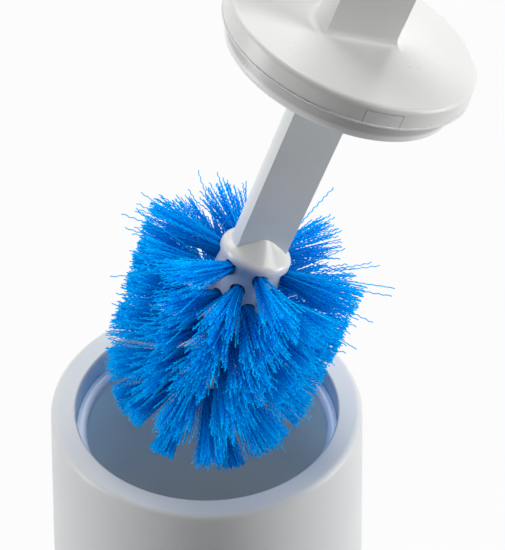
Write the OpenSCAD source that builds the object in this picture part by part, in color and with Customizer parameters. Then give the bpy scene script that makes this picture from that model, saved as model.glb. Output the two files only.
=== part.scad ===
// Toilet brush with its holder, the brush lifted half out of the mouth and leaning.
// Z is up. The origin is the centre of the holder's underside.
// The brush has its own frame: the centre of the lid's top face, with Z up along the handle.

/* [Holder] */
// Height of the holder
holder_h = 172; // [140:1:240]
// Outer radius of the holder at the rim
rim_r = 52; // [43:0.5:64]
// How much wider the holder's foot is than its rim, on the radius
foot_flare = 1.7; // [0:0.1:6]
// Wall of the holder
holder_wall = 2.4; // [1.6:0.1:3.4]
// Width of the rim's top, from the outside in to the recess for the lid
rim_land = 8.3; // [6.6:0.1:12]
// Width of the ledge that the lid rests on
ledge_w = 3.5; // [2.8:0.1:6]
// Thickness of the ring that makes the ledge
ledge_t = 4; // [3:0.1:6]

/* [Lid] */
// Height of the lid's side wall, from its top face down to the lip
lid_side = 6.9; // [5.6:0.1:9]
// Height of the bead that hangs in the mouth, below the neck under the side wall
bead_h = 6.2; // [4:0.1:8]
// Wall of the lid's two mouldings
lid_wall = 2.2; // [1.6:0.1:2.8]
// Gap round the lid in the recess
lid_gap = 1.9; // [0.5:0.1:3]
// Gap round the bead in the mouth
bead_gap = 1.3; // [1:0.1:4]
// How far the seated lid's top face lies below the rim
lid_sink = 0; // [0:0.1:2]

/* [Handle] */
// Length of the grip above the lid
grip_len = 222; // [150:1:300]
// Radius of the grip's round back where it meets the lid
grip_r = 13.4; // [11:0.1:16]
// How much wider the grip is near its top end, on the radius
grip_swell = 1.8; // [0:0.1:4]
// Distance of the grip's flat front from the axis
grip_flat = 5.6; // [4.6:0.1:8]
// Wall of the grip round the stem, at the round back
plug_wall = 3.2; // [2:0.1:4]
// Wall of the grip round the stem, at the flat front
plug_flat_wall = 2.4; // [1.6:0.1:3]
// How much narrower the stem's round back is at the brush head than at the lid
stem_taper = 0.8; // [0:0.1:2]
// Which way the flat front faces, round the handle's axis
flat_turn = -96; // [-180:1:180]

/* [Brush head] */
// Wall of the collar round the stem's foot
collar_wall = 2.6; // [1.8:0.1:4]
// Slope of the collar's top, from level
collar_slope = 35; // [20:1:45]
// How far the collar stands out past the core below it
collar_step = 0.9; // [0.2:0.1:1.5]
// Tufts in one row
tufts_per_row = 6; // [5:1:6]
// Distance from one row of tufts to the next
row_pitch = 6; // [5:0.1:7.5]
// Radius of a tuft's socket
socket_r = 2.5; // [2:0.1:3]
// Depth of a tuft's socket
socket_depth = 4.8; // [4:0.1:5.8]
// Radius of a tuft at its tip
tuft_tip_r = 4.8; // [3:0.1:5.7]
// Gap round the bristles in the mouth
head_gap = 5.4; // [2:0.1:10]
// Gap between the tips of the bristles and the holder's floor when the lid is seated
tip_gap = 7.5; // [3:0.1:30]
// Turn of the tufts from the flat front
head_turn = 29.5; // [-30:0.5:30]

/* [Lifted pose] */
// Lean of the brush from upright
lean = 21.8; // [0:0.1:24]
// Direction that it leans in, from X
lean_heading = 19.8; // [-180:0.1:180]
// Height of the middle of the head's round end above the rim
end_lift = 22.6; // [20:0.1:60]
// Where the brush's axis crosses the plane of the rim, along the direction of the lean
lean_foot = -8.2; // [-10:0.1:0]

/* [Hidden] */
$fn = 96;

// Clearances: a sliding seat, a snug plug and a tuft in its socket
seat_gap = 0.2;
plug_gap = 0.05;
tuft_gap = 0.3;
// Enough to carry a cut past the face that it opens
past = 1;

// Holder
rim_round = 2.2;
rim_inner_round = 0.8;
flange_t = 2.8;
seat_w = 2;
seat_t = 2;
lip_round = 2;
base_t = 2;
base_edge = 0.8;
floor_t = 2.4;
upstand_h = 9;
upstand_t = 2;
foot_r = rim_r + foot_flare;
recess_r = rim_r - rim_land;
seat_r = recess_r - seat_w;
mouth_r = recess_r - ledge_w;
seated_z = holder_h - lid_sink;

// Lid
lid_edge = 2;
lip_out = 0.4;
lip_t = 0.8;
neck_h = 2.2;
neck_in = 1.5;
bead_round = 2;
bead_edge = 1.2;
tab_w = 12.6;
tab_top = 2.4;
tab_turn = -97;
tabs = 3;
lid_r = recess_r - lid_gap;
bead_r = mouth_r - bead_gap;
neck_r = bead_r - neck_in;
lid_h = lid_side + neck_h + bead_h;
ledge_z = seated_z - lid_side - lip_t;

// Handle
grip_fillet = 3;
grip_end_round = 9;
grip_wall = 2.4;
plug_h = 42;
stem_wall = 2.4;
stem_flat_wall = 1.2;
stem_floor = 6;
grip_top_r = grip_r + grip_swell;
stem_r = grip_r - plug_wall;
stem_flat = grip_flat - plug_flat_wall;
stem_foot_r = stem_r - stem_taper;

// Brush head
rows = 10;
shoulder_wall = 1;
collar_edge = 2.6;
collar_h = 4.2;
collar_round = 3;
core_tail = 6;
core_end_round = 6;
flare = 0.4;
flare_h = 0.8;
flare_rise = 0.5;
flare_past = 4;
socket_web = 0.4;
first_splayed_row = 7;
splay_step = 10;
staple_h = 1.4;
staple_t = 0.4;
staple_side_gap = 0.7;
spigot_cover = 0.7;
spigot_h = 16;
// The collar wraps the stem, and the barrel under it has room for the sockets of a row side by side
core_r = max(stem_foot_r + collar_wall - collar_step,
             socket_depth + (socket_r + socket_web / 2) / sin(180 / tufts_per_row));
collar_r = core_r + collar_step;
spigot_r = core_r - socket_depth - staple_h - spigot_cover;
tuft_root_r = socket_r - tuft_gap;
tuft_reach = mouth_r - head_gap;

// Distances below the first row of tufts: the middle of the head's round end, and the lowest tips
round_drop = (first_splayed_row - 0.2) * row_pitch;
tips_drop = row_drop(rows) + tuft_len(rows) * sin(row_splay(rows))
    + tuft_tip_r * cos(row_splay(rows));

// Heights in the brush's own frame. The stem is as long as the seated brush needs.
stem_len = seated_z - lid_h - floor_t - tip_gap - tips_drop - socket_r - shoulder_wall;
shoulder_z = -lid_h - stem_len;
first_row_z = shoulder_z - shoulder_wall - socket_r;
core_end_z = first_row_z - row_drop(rows) - core_tail;
collar_low_z = first_row_z + collar_edge;
collar_top_z = collar_low_z + collar_h + (collar_r - collar_wall) * tan(collar_slope);

// Height of the lid's top face above the rim in the lifted pose
lift = end_lift + (round_drop - first_row_z) * cos(lean);

function arc(centre, radius, from, to, steps = 8) =
    [for (i = [0 : steps]) let (a = from + (to - from) * i / steps)
        centre + radius * [cos(a), sin(a)]];

// Row k starts at 1. Its tufts lean towards the head's end by its splay.
function row_drop(k) = (k - 1) * row_pitch;
function row_splay(k) = max(0, k - first_splayed_row + 1) * splay_step;
function row_turn(k) = flat_turn + head_turn + (k % 2) * 180 / tufts_per_row;

// Length of a tuft from the core's surface: to a cylinder on the straight rows,
// and to a ball round the head's end on the splayed rows
function tuft_len(k) =
    let (past_end = row_drop(k) - round_drop,
         along = core_r * cos(row_splay(k)) + past_end * sin(row_splay(k)),
         beyond = core_r * core_r + past_end * past_end - tuft_reach * tuft_reach)
    row_splay(k) == 0 ? tuft_reach - core_r : sqrt(along * along - beyond) - along;

module lifted()
    translate([0, 0, holder_h])
        rotate([0, 0, lean_heading])
            translate([lean_foot + lift * tan(lean), 0, lift])
                rotate([0, lean, 0])
                    children();

// Holder: sleeve with a turned-in rim, open below
module holder_shell()
    color("whitesmoke")
        rotate_extrude()
            polygon(concat(
                [[foot_r - holder_wall, base_t], [foot_r, base_t]],
                arc([rim_r - rim_round, holder_h - rim_round], rim_round, 0, 90),
                arc([recess_r + rim_inner_round, holder_h - rim_inner_round], rim_inner_round, 90, 180),
                [[recess_r, ledge_z - ledge_t], [seat_r, ledge_z - ledge_t],
                 [seat_r, ledge_z - ledge_t - seat_t],
                 [recess_r + holder_wall, ledge_z - ledge_t - seat_t],
                 [recess_r + holder_wall, holder_h - flange_t],
                 [rim_r - holder_wall, holder_h - flange_t - rim_round / 2]]));

// Ring that drops into the recess and makes the ledge for the lid, with a rounded lip at the mouth
module mouth_ring()
    color("white")
        rotate_extrude()
            polygon(concat(
                [[recess_r - seat_gap, ledge_z - ledge_t], [recess_r - seat_gap, ledge_z]],
                arc([mouth_r + lip_round, ledge_z - lip_round], lip_round, 90, 180),
                [[mouth_r, ledge_z - ledge_t]]));

// Floor of the holder, plugged into the sleeve from below by its upstand
module base_plate()
    color("whitesmoke")
        rotate_extrude()
            polygon([[0, 0], [foot_r - base_edge, 0], [foot_r, base_edge], [foot_r, base_t],
                     [foot_r - holder_wall - seat_gap, base_t],
                     [foot_r - holder_wall - seat_gap, base_t + upstand_h],
                     [foot_r - holder_wall - seat_gap - upstand_t, base_t + upstand_h],
                     [foot_r - holder_wall - seat_gap - upstand_t, floor_t], [0, floor_t]]);

// Keeps what lies behind a flat front that stands `flat` from the axis and runs from z = low up
module cut_flat(flat, low, high)
    rotate([0, 0, flat_turn])
        translate([flat, -2 * rim_r, low])
            cube([rim_r, 4 * rim_r, high - low]);

// Straight bar of D section, grown by `gap` all round
module d_bar(radius, flat, low, high, gap = 0)
    difference() {
        translate([0, 0, low])
            cylinder(h = high - low, r = radius + gap);
        cut_flat(flat + gap, low - past, high + past);
    }

// Grip: hollow D section that widens upwards, with a round end and a fillet where it meets the lid
module grip()
    color("whitesmoke")
        lifted()
            difference() {
                rotate_extrude()
                    polygon(concat(
                        [[0, 0]],
                        arc([grip_r + grip_fillet, grip_fillet], grip_fillet, 270, 180),
                        arc([grip_top_r - grip_end_round, grip_len - grip_end_round],
                            grip_end_round, 0, 90),
                        [[0, grip_len]]));
                cut_flat(grip_flat, grip_fillet, grip_len + past);
                cut_flat(grip_flat + grip_fillet, -past, grip_len + past);
                rotate([0, 0, flat_turn])
                    translate([grip_flat + grip_fillet, 0, grip_fillet])
                        rotate([90, 0, 0])
                            cylinder(h = 4 * grip_top_r, r = grip_fillet, center = true);
                d_bar(stem_r, stem_flat, -past, plug_h + past, plug_gap);
                difference() {
                    translate([0, 0, plug_h])
                        cylinder(h = grip_len - grip_end_round - plug_h, r1 = grip_r - grip_wall,
                                 r2 = grip_top_r - grip_wall);
                    cut_flat(grip_flat - grip_wall, 0, grip_len);
                }
            }

// Blocks round the lid's edge, one at each snap tab, grown by `gap`
module tab_blocks(gap)
    for (i = [0 : tabs - 1])
        rotate([0, 0, tab_turn + i * 360 / tabs])
            translate([neck_r, -tab_w / 2 - gap, -lid_side - past])
                cube([lid_r, tab_w + 2 * gap, lid_side + past - tab_top + gap]);

// Top and side wall of the lid, notched for the snap tabs
module lid_cap()
    color("whitesmoke")
        lifted()
            difference() {
                rotate_extrude()
                    polygon(concat(
                        [[0, -lid_wall], [0, 0]],
                        arc([lid_r - lid_edge, -lid_edge], lid_edge, 90, 0),
                        [[lid_r, -lid_side], [lid_r - lid_wall, -lid_side],
                         [lid_r - lid_wall, -lid_wall]]));
                d_bar(stem_r, stem_flat, -lid_wall - past, past, plug_gap);
                tab_blocks(seat_gap);
            }

// Underside of the lid: bead, neck, the lip that rests on the ledge, snap ring and tabs, and a
// hub round the stem
module lid_base()
    color("white")
        lifted()
            difference() {
                union() {
                    rotate_extrude()
                        polygon(concat(
                            [[0, -lid_h]],
                            arc([bead_r - bead_round, bead_round - lid_h], bead_round, 270, 360),
                            arc([bead_r - bead_edge, -lid_side - neck_h - bead_edge], bead_edge, 0, 90),
                            [[neck_r, -lid_side - neck_h], [neck_r, -lid_side - lip_t],
                             [lid_r, -lid_side - lip_t], [lid_r + lip_out, -lid_side - lip_t / 2],
                             [lid_r + lip_out, -lid_side], [lid_r - lid_wall - seat_gap, -lid_side],
                             [lid_r - lid_wall - seat_gap, -tab_top],
                             [neck_r - lid_wall, -tab_top],
                             [neck_r - lid_wall, lid_wall - lid_h], [0, lid_wall - lid_h]]));
                    intersection() {
                        tab_blocks(0);
                        difference() {
                            translate([0, 0, -lid_side])
                                cylinder(h = lid_side - tab_top, r = lid_r);
                            translate([0, 0, -lid_side - past])
                                cylinder(h = lid_side + past, r = lid_r - lid_wall - seat_gap - past);
                        }
                    }
                    d_bar(stem_r, stem_flat, -lid_h, -lid_wall, lid_wall);
                }
                d_bar(stem_r, stem_flat, -lid_h - past, 0, plug_gap);
            }

// Stem: D section, plugged up into the grip through the lid, tapering down to its shoulder
module stem()
    color("gainsboro")
        lifted() {
            difference() {
                union() {
                    translate([0, 0, -lid_h])
                        cylinder(h = lid_h + plug_h, r = stem_r);
                    translate([0, 0, shoulder_z])
                        cylinder(h = stem_len, r1 = stem_foot_r, r2 = stem_r);
                }
                cut_flat(stem_flat, shoulder_z - past, plug_h + past);
                d_bar(stem_foot_r - stem_wall, stem_flat - stem_flat_wall,
                      shoulder_z + stem_floor, plug_h + past);
            }
            translate([0, 0, shoulder_z - spigot_h])
                cylinder(h = spigot_h + past, r = spigot_r);
        }

// Places children along the middle of each tuft of row k: Z points out of the core, from its surface
module at_tufts(k)
    for (i = [0 : tufts_per_row - 1])
        rotate([0, 0, row_turn(k) + i * 360 / tufts_per_row])
            translate([core_r, 0, first_row_z - row_drop(k)])
                rotate([0, 90 + row_splay(k), 0])
                    children();

// Drilled socket of a tuft, flared where it breaks out of the core
module tuft_socket() {
    translate([0, 0, -socket_depth])
        cylinder(h = socket_depth, r = socket_r);
    translate([0, 0, -flare_h])
        cylinder(h = flare_h + flare_rise, r1 = socket_r, r2 = socket_r + flare);
    translate([0, 0, flare_rise])
        cylinder(h = flare_past, r = socket_r + flare);
}

// Outline of the core, turned about its axis: a sloping collar with a round shoulder that
// overhangs the barrel, and a round end
function core_outline() =
    let (round_r = collar_r - collar_round,
         on_slope = round_r + collar_round * sin(collar_slope),
         round_z = collar_top_z - on_slope * tan(collar_slope) - collar_round * cos(collar_slope))
    concat([[0, core_end_z], [0, collar_top_z]],
           arc([round_r, round_z], collar_round, 90 - collar_slope, 0),
           [[collar_r, collar_low_z], [core_r, collar_low_z]],
           arc([core_r - core_end_round, core_end_z + core_end_round], core_end_round, 0, -90));

// Core: collar, barrel and round end, drilled with a flared socket for each tuft
module head_core()
    color("white")
        lifted()
            difference() {
                rotate_extrude()
                    polygon(core_outline());
                difference() {
                    translate([0, 0, shoulder_z])
                        cylinder(h = stem_len, r1 = stem_foot_r + plug_gap, r2 = stem_r + plug_gap);
                    cut_flat(stem_flat + plug_gap, shoulder_z - past, 0);
                }
                translate([0, 0, shoulder_z - spigot_h - past])
                    cylinder(h = spigot_h + 2 * past, r = spigot_r + plug_gap);
                for (k = [1 : rows])
                    at_tufts(k)
                        tuft_socket();
            }

// Wire staples that hold the folded roots of the tufts, driven into the floors of the sockets
module tuft_anchors()
    color("silver")
        lifted()
            for (k = [1 : rows])
                at_tufts(k)
                    translate([0, 0, -socket_depth - staple_h / 2])
                        cube([staple_t, 2 * (socket_r - staple_side_gap), staple_h], center = true);

// One ring of tufts, each as the plain solid that its bristles fill: straight in the socket,
// then opening out towards the tips
module tuft_row(k)
    color("deepskyblue")
        lifted()
            at_tufts(k) {
                translate([0, 0, -socket_depth])
                    cylinder(h = socket_depth, r = tuft_root_r);
                cylinder(h = tuft_len(k), r1 = tuft_root_r, r2 = tuft_tip_r);
            }

holder_shell();
mouth_ring();
base_plate();
grip();
lid_cap();
lid_base();
stem();
head_core();
tuft_anchors();
tuft_row(1);  // tuft_row_01
tuft_row(2);  // tuft_row_02
tuft_row(3);  // tuft_row_03
tuft_row(4);  // tuft_row_04
tuft_row(5);  // tuft_row_05
tuft_row(6);  // tuft_row_06
tuft_row(7);  // tuft_row_07
tuft_row(8);  // tuft_row_08
tuft_row(9);  // tuft_row_09
tuft_row(10);  // tuft_row_10
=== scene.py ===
import math

import bpy
from mathutils import Matrix, Vector


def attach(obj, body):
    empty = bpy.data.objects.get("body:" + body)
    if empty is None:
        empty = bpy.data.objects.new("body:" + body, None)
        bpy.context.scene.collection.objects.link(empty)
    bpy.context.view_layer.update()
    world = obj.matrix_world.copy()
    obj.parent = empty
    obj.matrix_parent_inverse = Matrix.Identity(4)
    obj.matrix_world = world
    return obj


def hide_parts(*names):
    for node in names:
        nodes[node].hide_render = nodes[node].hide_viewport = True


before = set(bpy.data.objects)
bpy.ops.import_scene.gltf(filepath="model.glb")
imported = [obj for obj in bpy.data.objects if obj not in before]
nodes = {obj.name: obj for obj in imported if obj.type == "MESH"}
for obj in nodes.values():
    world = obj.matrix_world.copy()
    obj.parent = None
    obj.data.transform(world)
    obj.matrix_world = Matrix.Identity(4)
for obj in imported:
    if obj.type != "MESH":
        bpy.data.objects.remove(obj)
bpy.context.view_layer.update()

MM = 0.001

# ---------------------------------------------------------------- sizes of the CAD pieces

HOLDER_HEIGHT = 172 * MM
INNER_RADIUS = 50.2 * MM

# The brush leans towards its heading, with the middle of its lid lifted above the rim.
# LEAN_FOOT is where its axis meets the plane of the rim, along the heading.
LEAN = math.radians(21.8)
LEAN_HEADING = math.radians(19.8)
LID_LIFT = 146.883 * MM
LEAN_FOOT = -8.2 * MM

# The brush head, in the brush's own frame, which has the lid's top face at its origin.
# Angles are in degrees: the handle's flat side turns by FLAT_TURN, and the head from there.
ROWS = 10
TUFTS_PER_ROW = 6
ROW_PITCH = 6 * MM
FIRST_ROW = -93.0556 * MM
CORE_RADIUS = 11.1 * MM
FIRST_SPLAYED_ROW = 7
SPLAY_STEP = 10
ROUND_END = FIRST_ROW - 40.8 * MM
FLAT_TURN = -96
HEAD_TURN = 29.5

# Takes the brush's own frame to the lifted place
BRUSH_PLACE = (
    Matrix.Translation((0, 0, HOLDER_HEIGHT))
    @ Matrix.Rotation(LEAN_HEADING, 4, "Z")
    @ Matrix.Translation((LEAN_FOOT + LID_LIFT * math.tan(LEAN), 0, LID_LIFT))
    @ Matrix.Rotation(LEAN, 4, "Y")
)

# ---------------------------------------------------------------- sizes of the bristles

# The head's trimmed outline, which is worn down on one side
TRIMMED_RADIUS = 37.5 * MM
CUT_SCATTER = (-1.2 * MM, 0.5 * MM)
WORN_SIDE = math.radians(160)
WORN_EDGE = (-0.2, 0.9)  # cosines of the angle from the worn side's middle

# One fibre
ROOT_RADIUS = 2.15 * MM
ROOT_DEPTH = 2.5 * MM
FIBRE_RADIUS = 0.20 * MM
FIBRE_JOINTS = 27

# A whole tuft's unevenness, as a share of a single fibre's
TUFT_TILT = 0.6

# Fibres whose draw is above STRAYS_ABOVE are strays, and stand out by their row's share of
# STRAY_REACH
STRAYS_ABOVE = 0.94
STRAY_REACH = 22 * MM

CRIMP = 0.26 * MM
CRIMP_JITTER = (0.6, 1.2)
CRIMP_START = (0.1, 0.35)  # shares of the fibre's length
CRIMP_PLANE_SPREAD = 0.4  # radians to either side of its lock's plane

# Neighbouring fibres stick together in locks, whose tips part from each other
FIBRES_PER_LOCK = 9
PARTING = 1.0 * MM
LOOSENESS = 0.5  # a single fibre's parting, as a share of its lock's

# Steps between the draws of neighbouring rows, and between those of neighbouring fibres
DRAWS_PER_SEED = 31
IDS_PER_FIBRE = 40
JITTER_SEED = 9

# One value for each row of tufts, from the collar down
FIBRES = (84,) * 2 + (96,) * 8
FAN_ROUND = (0.22,) * 8 + (0.11,) * 2
FAN_ALONG = (0.19,) * 5 + (0.27, 0.30, 0.24) + (0.15,) * 2
UNEVENNESS = (0.08,) * 2 + (0.05,) * 6 + (0.035,) * 2
STRAYS = (0.45, 0.45, 0.2, 0.15, 0.12, 0.12, 0.12, 0.1, 0.05, 0.05)
WEAR = tuple(min(0.5 * step, 3.5) * MM for step in range(ROWS))

# ---------------------------------------------------------------- colours and grain

# Painted blue bounce light from the bristles on the holder's inner faces, paler deep inside
DEEP_INSIDE_PAINTED_BOUNCE = (0.80, 0.87, 0.93)
LIGHT_THROUGH_WALL = (0.88, 0.90, 0.92)
# Painted shade in the groove under the lid's lip and over the bead's upper slope, and painted light
# on the bead below it
GROOVE_PAINTED_SHADE = (0.60, 0.60, 0.60)
BEAD_PAINTED_LIGHT = (0.92, 0.92, 0.915)

# Heights over the floor, and depths under the lid's top face, between which painted light and shade
# change
INSIDE_BOUNCE_FADE = (85 * MM, 145 * MM)
RIM_EDGE = (169 * MM, 171.5 * MM)
WALL_EDGE = (INNER_RADIUS, INNER_RADIUS + 0.5 * MM)
GROOVE_EDGE = (7.6 * MM, 7.9 * MM)
BEAD_EDGE = (11.6 * MM, 13.0 * MM)

# Scales of noise, per metre
CLOUD_SCALE = 45.0
SPECK_SCALE = 900.0
GRAIN_SCALE = 2600.0
HAIRLINE_SCALE = 260.0
MOTTLE_SCALE = 1500.0
STREAK_SCALE = 3000.0

GRAIN_DEPTH = 0.2 * MM
HAIRLINE_TURN = (0.5, 0.3, 0.9)
HAIRLINE_STRETCH = (1, 14, 1)


# ---------------------------------------------------------------- node building

class Value:
    """One output of a node. Sums, products and shares of values add Math nodes."""

    def __init__(self, graph, socket):
        self.graph = graph
        self.socket = socket

    def math(self, operation, *operands):
        return self.graph.add(
            "ShaderNodeMath", {"operation": operation}, dict(enumerate(operands))
        )

    def __add__(self, other):
        return self.math("ADD", self, other)

    def __radd__(self, other):
        return self.math("ADD", other, self)

    def __sub__(self, other):
        return self.math("SUBTRACT", self, other)

    def __rsub__(self, other):
        return self.math("SUBTRACT", other, self)

    def __mul__(self, other):
        return self.math("MULTIPLY", self, other)

    def __rmul__(self, other):
        return self.math("MULTIPLY", other, self)

    def __truediv__(self, other):
        return self.math("DIVIDE", self, other)


class Graph:
    """A node tree that is filled by one call for each node."""

    def __init__(self, tree):
        self.tree = tree

    def add(self, kind, settings=None, inputs=None, output=0):
        """Adds a node, with its settings set first. Gives the named output, a list of outputs
        when output is a tuple of names, or nothing when it is None."""
        node = self.tree.nodes.new(kind)
        for name, setting in (settings or {}).items():
            if name == "stops":
                self.set_stops(node.color_ramp, setting)
            else:
                setattr(node, name, setting)
        for key, value in (inputs or {}).items():
            self.feed(self.pick(node.inputs, key), value)
        if output is None:
            return None
        if isinstance(output, tuple):
            return [Value(self, self.pick(node.outputs, key)) for key in output]
        return Value(self, self.pick(node.outputs, output))

    def set_stops(self, ramp, stops):
        while len(ramp.elements) < len(stops):
            ramp.elements.new(0.5)
        for element, (position, colour) in zip(ramp.elements, stops):
            element.position = position
            element.color = rgba(*colour)

    def pick(self, sockets, key):
        """Socket by its place or its name. Unused sockets may share a name, and are left out."""
        if isinstance(key, int):
            return sockets[key]
        return next(s for s in sockets if s.name == key and s.enabled)

    def feed(self, socket, value):
        if isinstance(value, Value):
            self.tree.links.new(value.socket, socket)
        else:
            socket.default_value = value

    def mix(self, factor, first, second):
        inputs = {"Factor": factor, "A": first, "B": second}
        return self.add("ShaderNodeMix", {"data_type": "RGBA"}, inputs, "Result")

    def mix_shaders(self, factor, first, second):
        return self.add("ShaderNodeMixShader", inputs={0: factor, 1: first, 2: second})


def rgba(red, green, blue):
    return (red, green, blue, 1)


def sine(value):
    return value.math("SINE", value)


def cosine(value):
    return value.math("COSINE", value)


def root(value):
    return value.math("SQRT", value)


def whole(value):
    return value.math("FLOOR", value)


def larger(first, second):
    return first.math("MAXIMUM", first, second)


def between(value, low, high):
    """0 below low, 1 above high, and smooth between them."""
    settings = {"interpolation_type": "SMOOTHSTEP"}
    inputs = {"Value": value, "From Min": low, "From Max": high}
    return value.graph.add("ShaderNodeMapRange", settings, inputs)


def new_object(name, data):
    """Object in the scene, at its origin."""
    made = bpy.data.objects.new(name, data)
    bpy.context.scene.collection.objects.link(made)
    return made


# ---------------------------------------------------------------- finishes

def new_material(name):
    material = bpy.data.materials.new(name)
    material.use_nodes = True
    material.node_tree.nodes.clear()
    return material, Graph(material.node_tree)


def object_place(graph):
    return graph.add("ShaderNodeTexCoord", output="Object")


def noise(graph, place, scale, detail):
    inputs = {"Vector": place, "Scale": scale, "Detail": detail}
    return graph.add("ShaderNodeTexNoise", inputs=inputs, output="Fac")


def finish_surface(graph, inputs, through=0.0, through_colour=None):
    """Principled surface. through is the share of light that a thin piece lets through."""
    surface = graph.add("ShaderNodeBsdfPrincipled", inputs=inputs)
    if through:
        lit = graph.add("ShaderNodeBsdfTranslucent", inputs={"Color": rgba(*through_colour)})
        surface = graph.mix_shaders(through, surface, lit)
    graph.add("ShaderNodeOutputMaterial", inputs={"Surface": surface}, output=None)


def paint_inside_bounce_light(graph, place, base, inside):
    """Painted bounce light on a holder piece's inner faces: inside near the rim, paler near the
    floor.
    """
    x, y, z = graph.add("ShaderNodeSeparateXYZ", inputs={"Vector": place}, output=("X", "Y", "Z"))
    within_wall = 1.0 - between(root(x * x + y * y), *WALL_EDGE)
    under_rim = 1.0 - between(z, *RIM_EDGE)
    # Painted bounce light: bluer near the rim, paler towards the floor
    painted_bounce = graph.mix(between(z, *INSIDE_BOUNCE_FADE), rgba(*DEEP_INSIDE_PAINTED_BOUNCE), rgba(*inside))
    return graph.mix(within_wall * under_rim, base, painted_bounce)


def paint_underside_shade_and_light(graph, place, base, groove, bead):
    """Paints the lid's underside by its depth under the top face: painted shade in the groove and
    over the bead's top, then painted light on the bead.
    """
    axis, top = BRUSH_PLACE.col[2].xyz, BRUSH_PLACE.translation
    settings = {"operation": "DOT_PRODUCT"}
    along_axis = graph.add("ShaderNodeVectorMath", settings, {0: place, 1: axis}, "Value")
    depth = axis.dot(top) - along_axis
    # Painted shade, then painted light lower on the bead
    base = graph.mix(between(depth, *GROOVE_EDGE), base, rgba(*groove))
    return graph.mix(between(depth, *BEAD_EDGE), base, rgba(*bead))


def moulded_plastic(name, colour, shade, roughness, grain, coat=0.0, inside=None, underside=None,
                    through=0.0):
    """White moulded plastic: a faint cloudy tone, uneven gloss, fine mould grain and a few
    hairlines. inside is the painted blue bounce light on a holder piece's inner faces near the
    rim, and underside has the painted shade in the lid's groove and the painted light on its bead."""
    material, graph = new_material(name)
    place = object_place(graph)
    clouds = noise(graph, place, CLOUD_SCALE, 3.0)
    speck = noise(graph, place, SPECK_SCALE, 2.0)
    grains = noise(graph, place, GRAIN_SCALE, 2.0)
    stretched = graph.add("ShaderNodeMapping", inputs={
        "Vector": place, "Rotation": HAIRLINE_TURN, "Scale": HAIRLINE_STRETCH,
    })
    hairline = between(noise(graph, stretched, HAIRLINE_SCALE, 4.0), 0.66, 0.74)

    tone = between(clouds, 0.3, 0.7) * 0.5 + between(speck, 0.62, 0.75) * 0.15
    base = graph.mix(tone, rgba(*colour), rgba(*shade))
    # Painted bounce light on the inner faces
    if inside:
        base = paint_inside_bounce_light(graph, place, base, inside)
    # Painted shade and light under the lid
    if underside:
        base = paint_underside_shade_and_light(graph, place, base, *underside)

    gloss = roughness + (clouds - 0.5) * 0.12 + (speck - 0.5) * 0.06 + hairline * 0.02
    height = grains * 0.6 + hairline * -0.015
    normal = graph.add("ShaderNodeBump", inputs={
        "Strength": grain, "Distance": GRAIN_DEPTH, "Height": height,
    })
    finish_surface(graph, {
        "Base Color": base, "Roughness": gloss, "Normal": normal,
        "IOR": 1.49, "Coat Weight": coat, "Coat Roughness": 0.12,
    }, through, LIGHT_THROUGH_WALL)
    return material


def bristle_fibre():
    """Blue fibre, darker towards its root as painted shade deep in the tuft and lighter towards its
    cut tip as painted through-light, each a little different.
    """
    material, graph = new_material("crimped bristle fibre")
    along, shade = (
        graph.add("ShaderNodeAttribute", {"attribute_name": label}, output="Fac")
        for label in ("along", "shade")
    )
    mottle = noise(graph, object_place(graph), MOTTLE_SCALE, 1.0)
    # Painted shade at the root and painted through-light at the tip, along the fibre
    stops = [
        (0.0, (0.0, 0.08, 0.66)), (0.35, (0.0, 0.12, 0.80)),
        (0.75, (0.0, 0.20, 0.92)), (1.0, (0.0, 0.38, 1.0)),
    ]
    share = along + (shade - 0.5) * 0.25 + (mottle - 0.5) * 0.12
    colour = graph.add("ShaderNodeValToRGB", {"stops": stops}, {"Fac": share}, "Color")
    finish_surface(graph, {
        "Base Color": colour, "Roughness": 0.5 - between(shade, 0.8, 0.95) * 0.2, "IOR": 1.5,
        "Specular IOR Level": 0.4, "Specular Tint": rgba(0.1, 0.7, 1.0),
    }, through=0.9, through_colour=(0.0, 0.73, 1.0))
    return material


def staple_wire():
    """Drawn steel wire, streaked a little lighter and darker."""
    material, graph = new_material("drawn staple wire")
    drawn = noise(graph, object_place(graph), STREAK_SCALE, 2.0)
    base = graph.mix(drawn, rgba(0.45, 0.45, 0.46), rgba(0.65, 0.65, 0.66))
    finish_surface(graph, {
        "Base Color": base, "Metallic": 1.0, "Roughness": 0.25 + drawn * 0.2,
    })
    return material


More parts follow.
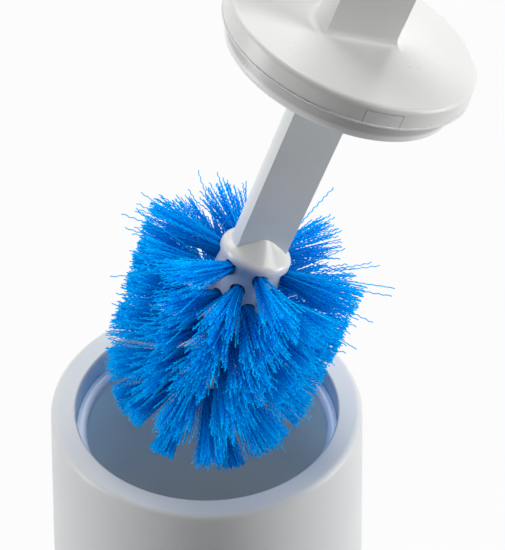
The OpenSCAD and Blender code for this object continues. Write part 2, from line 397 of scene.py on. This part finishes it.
FINISHES = {
    "holder_shell": moulded_plastic(
        "holder plastic", (0.84, 0.84, 0.83), (0.82, 0.82, 0.815), roughness=0.34, grain=0.12,
        # inside: painted blue bounce light from the bristles
        inside=(0.52, 0.79, 1.0), through=0.15,
    ),
    "mouth_ring": moulded_plastic(
        "mouth ring plastic", (0.80, 0.81, 0.80), (0.78, 0.79, 0.78), roughness=0.26, grain=0.06,
        # inside: painted bounce light, paler on the ring
        inside=(0.84, 0.91, 0.98),
    ),
    "base_plate": moulded_plastic(
        "floor plate plastic", (0.76, 0.75, 0.73), (0.74, 0.73, 0.71), roughness=0.45, grain=0.2,
        # inside: painted bounce light, as deep in the holder
        inside=DEEP_INSIDE_PAINTED_BOUNCE,
    ),
    "grip": moulded_plastic(
        "handle plastic", (0.83, 0.825, 0.81), (0.81, 0.81, 0.80), roughness=0.3, grain=0.08,
    ),
    "lid_cap": moulded_plastic(
        "lid plastic", (0.81, 0.805, 0.795), (0.79, 0.79, 0.785), roughness=0.3, grain=0.1,
    ),
    "lid_base": moulded_plastic(
        "lid underside plastic", (0.83, 0.83, 0.825), (0.81, 0.815, 0.815), roughness=0.3,
        # underside: painted shade in the groove, painted light on the bead
        grain=0.08, underside=(GROOVE_PAINTED_SHADE, BEAD_PAINTED_LIGHT),
    ),
    "stem": moulded_plastic(
        "stem plastic", (0.82, 0.84, 0.83), (0.80, 0.825, 0.815), roughness=0.3, grain=0.08,
    ),
    "head_core": moulded_plastic(
        "brush core plastic", (0.82, 0.81, 0.78), (0.80, 0.79, 0.76), roughness=0.24, grain=0.05,
        coat=0.2,
    ),
    "tuft_anchors": staple_wire(),
}
for name, material in FINISHES.items():
    nodes[name].material_slots[0].material = material


# ---------------------------------------------------------------- bristles

TUFT_RING_SIZES = (
    ("Tufts", "NodeSocketInt"), ("Fibres", "NodeSocketInt"), ("Joints", "NodeSocketInt"),
    ("Core radius", "NodeSocketFloat"), ("Row height", "NodeSocketFloat"),
    ("Splay", "NodeSocketFloat"), ("Turn", "NodeSocketFloat"),
    ("Reach", "NodeSocketFloat"), ("Round end", "NodeSocketFloat"), ("Rounded", "NodeSocketFloat"),
    ("Root radius", "NodeSocketFloat"), ("Root depth", "NodeSocketFloat"),
    ("Fan round", "NodeSocketFloat"), ("Fan along", "NodeSocketFloat"),
    ("Fibre radius", "NodeSocketFloat"), ("Crimp", "NodeSocketFloat"),
    ("Unevenness", "NodeSocketFloat"), ("Strays", "NodeSocketFloat"),
    ("Lock", "NodeSocketInt"), ("Parting", "NodeSocketFloat"),
    ("Wear", "NodeSocketFloat"), ("Worn side", "NodeSocketFloat"),
    ("Seed", "NodeSocketInt"), ("Fibre", "NodeSocketMaterial"),
)


def tuft_ring_tree():
    """Geometry Nodes tree for one ring of tufts, in the brush's own frame. A tuft's fibres stand
    in its socket, fan out, crimp, and end where the head's trimmed outline cuts them."""
    tree = bpy.data.node_groups.new("tuft ring", "GeometryNodeTree")
    graph = Graph(tree)
    for label, kind in TUFT_RING_SIZES:
        tree.interface.new_socket(label, in_out="INPUT", socket_type=kind)
    tree.interface.new_socket("Geometry", in_out="OUTPUT", socket_type="NodeSocketGeometry")
    labels = tuple(label for label, _ in TUFT_RING_SIZES)
    given = dict(zip(labels, graph.add("NodeGroupInput", output=labels)))

    line = graph.add("GeometryNodeCurvePrimitiveLine", output="Curve")
    jointed = graph.add("GeometryNodeResampleCurve", inputs={
        "Curve": line, "Count": given["Joints"],
    }, output="Curve")
    fibres, fibre = graph.add("GeometryNodeDuplicateElements", {"domain": "SPLINE"}, {
        "Geometry": jointed, "Amount": given["Tufts"] * given["Fibres"],
    }, ("Geometry", "Duplicate Index"))
    along = graph.add("GeometryNodeSplineParameter", output="Factor")
    joint = graph.add("GeometryNodeSplineParameter", output="Index")

    def draw(low, high, of, seed):
        inputs = {"Min": low, "Max": high, "ID": of, "Seed": seed}
        return graph.add("FunctionNodeRandomValue", {"data_type": "FLOAT"}, inputs, "Value")

    def chance(salt, low=0.0, high=1.0, of=fibre):
        """A random number for each fibre, lock or tuft. Every salt is another draw."""
        return draw(low, high, of, given["Seed"] * DRAWS_PER_SEED + salt)

    def either_way(salt, most=1.0, of=fibre):
        return chance(salt, -most, most, of)

    tuft = whole(fibre / given["Fibres"])
    lock = whole(fibre / given["Lock"])
    turn = given["Turn"] + tuft * (2 * math.pi) / given["Tufts"]

    # Root of the fibre in its socket, and the slopes at which it leaves it
    spread = root(chance(1))
    bearing = chance(2, 0.0, 2 * math.pi)
    side_share = spread * cosine(bearing)
    up_share = spread * sine(bearing)
    side_root = side_share * given["Root radius"]
    up_root = up_share * given["Root radius"]
    wander = given["Unevenness"]
    stray = between(chance(3), STRAYS_ABOVE, 1.0) * given["Strays"]
    side_slope = (side_share * given["Fan round"] + either_way(4) * (wander + stray)
                  + either_way(5, TUFT_TILT, tuft) * wander)
    up_slope = (up_share * given["Fan along"] + either_way(6) * (wander + stray)
                + either_way(7, TUFT_TILT, tuft) * wander)

    # Length to the trimmed outline: a cylinder on straight rows, a ball on splayed ones
    lean_cos, lean_sin = cosine(given["Splay"]), sine(given["Splay"])
    start_x = given["Core radius"] + up_root * lean_sin
    start_z = (given["Row height"] - given["Round end"] + up_root * lean_cos) * given["Rounded"]
    run_x = lean_cos + up_slope * lean_sin
    run_z = (up_slope * lean_cos - lean_sin) * given["Rounded"]
    worn = between(cosine(turn - given["Worn side"]), *WORN_EDGE) * given["Wear"]
    reach = given["Reach"] - worn + chance(8, *CUT_SCATTER) + stray * STRAY_REACH
    square = run_x * run_x + side_slope * side_slope + run_z * run_z
    half = start_x * run_x + side_root * side_slope + start_z * run_z
    rest = start_x * start_x + side_root * side_root + start_z * start_z - reach * reach
    length = (root(half * half - square * rest) - half) / square

    # Crimp: the joints stand to one side and the other by turns, less so inside the socket
    out = (length + given["Root depth"]) * along - given["Root depth"]
    sway = (joint.math("MODULO", joint, 2.0) - 0.5) * 2.0
    free = between(along, *CRIMP_START)
    jitter = draw(*CRIMP_JITTER, fibre * IDS_PER_FIBRE + joint, given["Seed"] + JITTER_SEED)
    plane = chance(10, 0.0, 2 * math.pi, lock) + either_way(16, CRIMP_PLANE_SPREAD)
    wave = sway * jitter * free * given["Crimp"]

    # Locks of fibres part towards their tips
    parting = along * along * along * given["Parting"]
    side_part = either_way(14, of=lock) + either_way(11, LOOSENESS)
    up_part = either_way(15, of=lock) + either_way(12, LOOSENESS)
    side = side_root + side_slope * out + wave * cosine(plane) + parting * side_part
    up = up_root + up_slope * out + wave * sine(plane) + parting * up_part

    radial = given["Core radius"] + out * lean_cos + up * lean_sin
    position = graph.add("ShaderNodeCombineXYZ", inputs={
        "X": radial * cosine(turn) - side * sine(turn),
        "Y": radial * sine(turn) + side * cosine(turn),
        "Z": given["Row height"] - out * lean_sin + up * lean_cos,
    })
    fibres = graph.add("GeometryNodeSetPosition", inputs={
        "Geometry": fibres, "Position": position,
    })
    for label, value in (("along", along), ("shade", chance(13))):
        fibres = graph.add("GeometryNodeStoreNamedAttribute", {
            "data_type": "FLOAT", "domain": "POINT",
        }, {"Geometry": fibres, "Name": label, "Value": value})
    section = graph.add("GeometryNodeCurvePrimitiveCircle", {"mode": "RADIUS"}, {
        "Resolution": 4, "Radius": given["Fibre radius"],
    })
    tubes = graph.add("GeometryNodeCurveToMesh", inputs={
        "Curve": fibres, "Profile Curve": section, "Fill Caps": True,
    })
    smooth = graph.add("GeometryNodeSetShadeSmooth", inputs={"Geometry": tubes})
    solid = graph.add("GeometryNodeRealizeInstances", inputs={"Geometry": smooth})
    coloured = graph.add("GeometryNodeSetMaterial", inputs={
        "Geometry": solid, "Material": given["Fibre"],
    })
    graph.add("NodeGroupOutput", inputs={"Geometry": coloured}, output=None)
    return tree


def plain_mesh(name, tree, sizes):
    """Runs a tree with its named sizes and returns the result as an object with a plain mesh."""
    carrier = new_object(name + "_carrier", bpy.data.meshes.new(name + "_carrier"))
    modifier = carrier.modifiers.new("nodes", "NODES")
    modifier.node_group = tree
    for item in tree.interface.items_tree:
        if item.in_out == "INPUT":
            modifier[item.identifier] = sizes[item.name]
    evaluated = carrier.evaluated_get(bpy.context.evaluated_depsgraph_get())
    mesh = bpy.data.meshes.new_from_object(evaluated)
    bpy.data.objects.remove(carrier)
    mesh.name = name
    return new_object(name, mesh)


fibre_finish = bristle_fibre()
ring_tree = tuft_ring_tree()
for row in range(1, ROWS + 1):
    step = row - 1
    splayed = max(0, row - FIRST_SPLAYED_ROW + 1)
    turn = FLAT_TURN + HEAD_TURN + (row % 2) * 180 / TUFTS_PER_ROW
    bristles = plain_mesh(f"bristles_row_{row:02d}", ring_tree, {
        "Tufts": TUFTS_PER_ROW, "Fibres": FIBRES[step], "Joints": FIBRE_JOINTS,
        "Core radius": CORE_RADIUS, "Row height": FIRST_ROW - step * ROW_PITCH,
        "Splay": math.radians(splayed * SPLAY_STEP), "Turn": math.radians(turn),
        "Reach": TRIMMED_RADIUS, "Round end": ROUND_END, "Rounded": float(splayed > 0),
        "Root radius": ROOT_RADIUS, "Root depth": ROOT_DEPTH,
        "Fan round": FAN_ROUND[step], "Fan along": FAN_ALONG[step],
        "Fibre radius": FIBRE_RADIUS, "Crimp": CRIMP,
        "Unevenness": UNEVENNESS[step], "Strays": STRAYS[step],
        "Lock": FIBRES_PER_LOCK, "Parting": PARTING,
        "Wear": WEAR[step], "Worn side": WORN_SIDE,
        "Seed": row, "Fibre": fibre_finish,
    })
    bristles.data.transform(BRUSH_PLACE)
    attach(bristles, "brush")
    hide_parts(f"tuft_row_{row:02d}")


# ---------------------------------------------------------------- studio

FLOOR_HALF_WIDTH = 6
FLOOR_TONE = 0.5
FLOOR_GLOW = 0.95
SKY_FILL = 0.02


def seen_directly(graph):
    """1 for a ray from the camera, off a glossy face or through a clear one, else 0."""
    camera_ray, glossy_ray, clear_ray = graph.add("ShaderNodeLightPath", output=(
        "Is Camera Ray", "Is Glossy Ray", "Is Transmission Ray",
    ))
    return larger(larger(camera_ray, glossy_ray), clear_ray)


def pale_floor():
    """Pale matt floor, lit up towards white where it is seen directly, with some shadow left."""
    material, graph = new_material("pale floor")
    tone = rgba(FLOOR_TONE, FLOOR_TONE, FLOOR_TONE)
    paint = graph.add("ShaderNodeBsdfDiffuse", inputs={"Color": tone})
    light = graph.add("ShaderNodeEmission", inputs={"Color": rgba(1, 1, 1), "Strength": 1.0})
    both = graph.mix_shaders(seen_directly(graph) * FLOOR_GLOW, paint, light)
    graph.add("ShaderNodeOutputMaterial", inputs={"Surface": both}, output=None)
    half = FLOOR_HALF_WIDTH
    mesh = bpy.data.meshes.new("floor")
    corners = [(-half, -half, 0), (half, -half, 0), (half, half, 0), (-half, half, 0)]
    mesh.from_pydata(corners, [], [(0, 1, 2, 3)])
    mesh.materials.append(material)
    return new_object("floor", mesh)


def plain_world():
    """White where it is seen directly, and only a faint fill light for the object."""
    world = bpy.data.worlds.new("studio")
    world.use_nodes = True
    world.node_tree.nodes.clear()
    graph = Graph(world.node_tree)

    def background(colour, strength):
        inputs = {"Color": colour, "Strength": strength}
        return graph.add("ShaderNodeBackground", inputs=inputs)

    fill = background(rgba(0.95, 0.98, 1.0), SKY_FILL)
    white = background(rgba(1, 1, 1), 1.0)
    both = graph.mix_shaders(seen_directly(graph), fill, white)
    graph.add("ShaderNodeOutputWorld", inputs={"Surface": both}, output=None)
    return world


def softbox(name, place, aim, size, power):
    """Area light that faces its aim. power is in watts."""
    data = bpy.data.lights.new(name, "AREA")
    data.shape = "RECTANGLE"
    data.size, data.size_y = size
    data.energy = power
    lamp = new_object(name, data)
    lamp.location = place
    lamp.rotation_euler = (Vector(aim) - Vector(place)).to_track_quat("-Z", "Y").to_euler()


floor = pale_floor()
bpy.context.scene.world = plain_world()

middle = (0.02, 0.0, 0.24)
foot = (0.0, 0.0, 0.1)
softbox("softbox left", (-1.5, -0.12, 0.6), middle, (0.6, 1.6), 18.0)
softbox("softbox low right", (1.3, 0.0, 0.15), foot, (0.6, 0.6), 10.2)
softbox("softbox high right", (1.4, 0.0, 1.1), middle, (0.6, 0.8), 8.4)
softbox("softbox above the back", (0.0, 1.2, 1.6), middle, (2.0, 1.0), 23.0)
softbox("softbox front", (0.0, -1.6, 1.5), middle, (1.2, 1.2), 1.35)
softbox("softbox back right", (1.0, 1.4, 1.1), middle, (0.8, 0.8), 2.2)


# ---------------------------------------------------------------- camera

# Angle below level, in radians
LOOK_DOWN = 0.72867393

# Focal length, as a multiple of the frame's longer side
LENS_TO_FRAME = 90 / 11
FRAME_SIDE = 36

# The eye's place from the middle of the rim, in millimetres
EYE_RIGHT, EYE_UP, EYE_BACK = 15.237, 44.111, 1499.289

right = Vector((1, 0, 0))
upward = Vector((0, math.sin(LOOK_DOWN), math.cos(LOOK_DOWN)))
ahead = Vector((0, math.cos(LOOK_DOWN), -math.sin(LOOK_DOWN)))
camera_data = bpy.data.cameras.new("camera")
camera_data.sensor_width = FRAME_SIDE
camera_data.lens = LENS_TO_FRAME * FRAME_SIDE
camera_data.clip_start, camera_data.clip_end = 0.05, 50
camera = new_object("camera", camera_data)
rim = Vector((0, 0, HOLDER_HEIGHT))
eye = rim + (EYE_RIGHT * right + EYE_UP * upward - EYE_BACK * ahead) * MM
turned = Matrix((right, upward, -ahead)).transposed().to_4x4()
camera.matrix_world = Matrix.Translation(eye) @ turned
bpy.context.scene.camera = camera

bpy.context.scene.view_settings.view_transform = "Standard"
